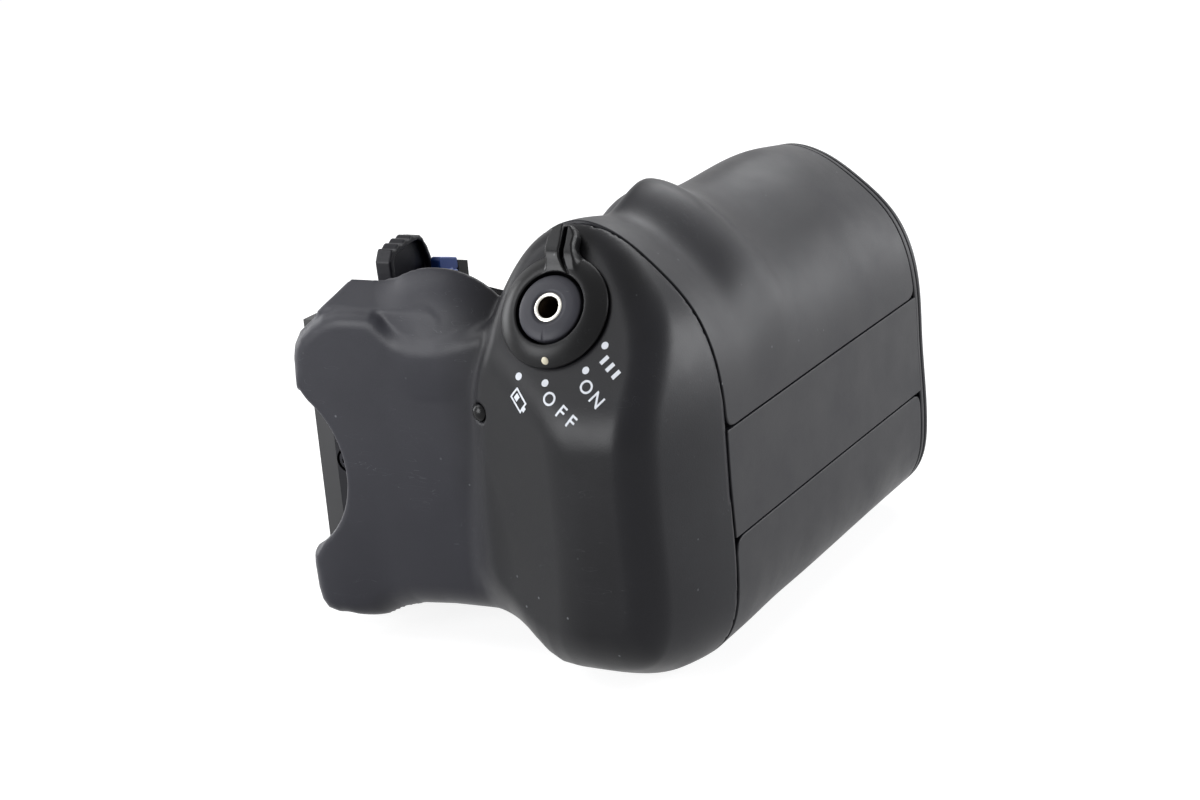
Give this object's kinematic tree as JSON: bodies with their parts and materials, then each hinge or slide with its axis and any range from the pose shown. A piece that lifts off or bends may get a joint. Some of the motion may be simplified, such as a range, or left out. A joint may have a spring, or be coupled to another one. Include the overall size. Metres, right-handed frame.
{
  "type": "power winder grip",
  "caption": "Camera hand grip with motor drive, tilted release with selector ring, lock lever, battery magazine and camera-side drive coupling.",
  "frame": {"origin": "on the camera-side mounting face, at the axis of the drive coupling", "axes": "X away from the camera, Y from the head to the battery end along the handle, Z towards the finger side"},
  "size_m": [0.0936, 0.1193, 0.0876],
  "materials": {
    "shell_plastic": "fine moulded, slightly sheened",
    "grip_plastic": "fine moulded, matte",
    "housing_plastic": "moulded, matte",
    "inner_plastic": "moulded",
    "screw_steel": "bright",
    "black_screw": "black oxide",
    "lamp_plastic": "clear dark lens",
    "gloss_plastic": "satin black",
    "nickel": "bright nickel",
    "spring_steel": "drawn wire",
    "white_paint": "paint fill",
    "sheet_steel": "stamped sheet",
    "switch_plastic": "moulded",
    "board": "laminate",
    "plate_metal": "black finish",
    "brass": "turned",
    "gold": "gold plated",
    "motor_can": "plated can",
    "lever_plastic": "moulded, ridged",
    "blue_plastic": "moulded navy",
    "cell_label": "plain wrap"
  },
  "bodies": {
    "casing": {"arm_back_plate": "shell_plastic", "arm_screws": "black_screw", "battery_lamp": "lamp_plastic", "board_components": "switch_plastic", "board_posts": "inner_plastic", "bulkhead": "inner_plastic", "bulkhead_screws": "screw_steel", "circuit_board": "board", "contact_block": "switch_plastic", "coupler_bush": "brass", "cover_screws": "black_screw", "detent_leaf": "spring_steel", "drive_cover": "housing_plastic", "drive_housing": "housing_plastic", "front_grip_cover": "grip_plastic", "front_screw": "black_screw", "gear_plate": "sheet_steel", "head_cover": "shell_plastic", "idler_axle": "screw_steel", "key_spring": "spring_steel", "locating_pins": "screw_steel", "motor": "motor_can", "mounting_plate": "plate_metal", "plate_screws": "screw_steel", "rear_palm_cover": "grip_plastic", "release_spring": "spring_steel", "release_switch": "switch_plastic", "spine_case": "shell_plastic", "switch_bracket": "sheet_steel", "terminal_block": "inner_plastic", "terminals": "nickel"},
    "button": {"release_button": "gloss_plastic", "cable_socket": "nickel"},
    "selector": {"selector_ring": "gloss_plastic", "index_dot": "white_paint", "selector_rotor": "inner_plastic"},
    "lever": {"lock_lever": "lever_plastic", "lock_shaft": "screw_steel"},
    "key": {"release_key": "blue_plastic"},
    "contacts": {"contact_pins": "gold"},
    "coupler": {"drive_coupler": "screw_steel", "coupler_gear": "brass"},
    "idler": {"idler_gear": "brass"},
    "rotor": {"motor_pinion": "brass", "motor_shaft_rod": "screw_steel"},
    "magazine": {"battery_magazine": "inner_plastic", "aa_cells": "cell_label", "cell_contacts": "nickel", "end_cap": "shell_plastic"},
    "knob": {"lock_knob": "gloss_plastic"}
  },
  "joints": [
    {"name": "release_press", "type": "slide", "parent": "casing", "child": "button", "axis": [0, 0.829, -0.5592], "range_m": [0, 0.0015], "stiffness_N_per_m": 400, "springref_m": -0.0015, "deforming": ["release_spring"]},
    {"name": "selector_turn", "type": "hinge", "parent": "casing", "child": "selector", "pos_m": [0.062, -0.0315, 0.0343], "axis": [0, -0.829, 0.5592], "range_deg": [-26, 63]},
    {"name": "lever_turn", "type": "hinge", "parent": "casing", "child": "lever", "pos_m": [0, 0.001, 0.021], "axis": [-1, 0, 0], "range_deg": [0, 60]},
    {"name": "key_press", "type": "slide", "parent": "casing", "child": "key", "axis": [0, 0, -1], "range_m": [0, 0.0015], "stiffness_N_per_m": 400, "springref_m": -0.001, "deforming": ["key_spring"]},
    {"name": "contacts_press", "type": "slide", "parent": "casing", "child": "contacts", "axis": [1, 0, 0], "range_m": [0, 0.001], "stiffness_N_per_m": 300, "springref_m": -0.001},
    {"name": "coupler_spin", "type": "hinge", "parent": "casing", "child": "coupler", "pos_m": [0, 0, 0], "axis": [1, 0, 0], "continuous": true},
    {"name": "idler_spin", "type": "hinge", "parent": "casing", "child": "idler", "pos_m": [0, 0.01112, -0.00931], "axis": [1, 0, 0], "continuous": true},
    {"name": "motor_spin", "type": "hinge", "parent": "casing", "child": "rotor", "pos_m": [0, 0.008, -0.021], "axis": [1, 0, 0], "continuous": true},
    {"name": "magazine_slide", "type": "slide", "parent": "casing", "child": "magazine", "axis": [0, 1, 0], "range_m": [0, 0.066]},
    {"name": "knob_turn", "type": "hinge", "parent": "magazine", "child": "knob", "pos_m": [0.06605, 0.07, 0], "axis": [0, 1, 0], "range_deg": [0, 90]}
  ],
  "couplings": [
    {"joint": "idler_spin", "follows": "coupler_spin", "ratio": -3},
    {"joint": "motor_spin", "follows": "coupler_spin", "ratio": 9}
  ]
}
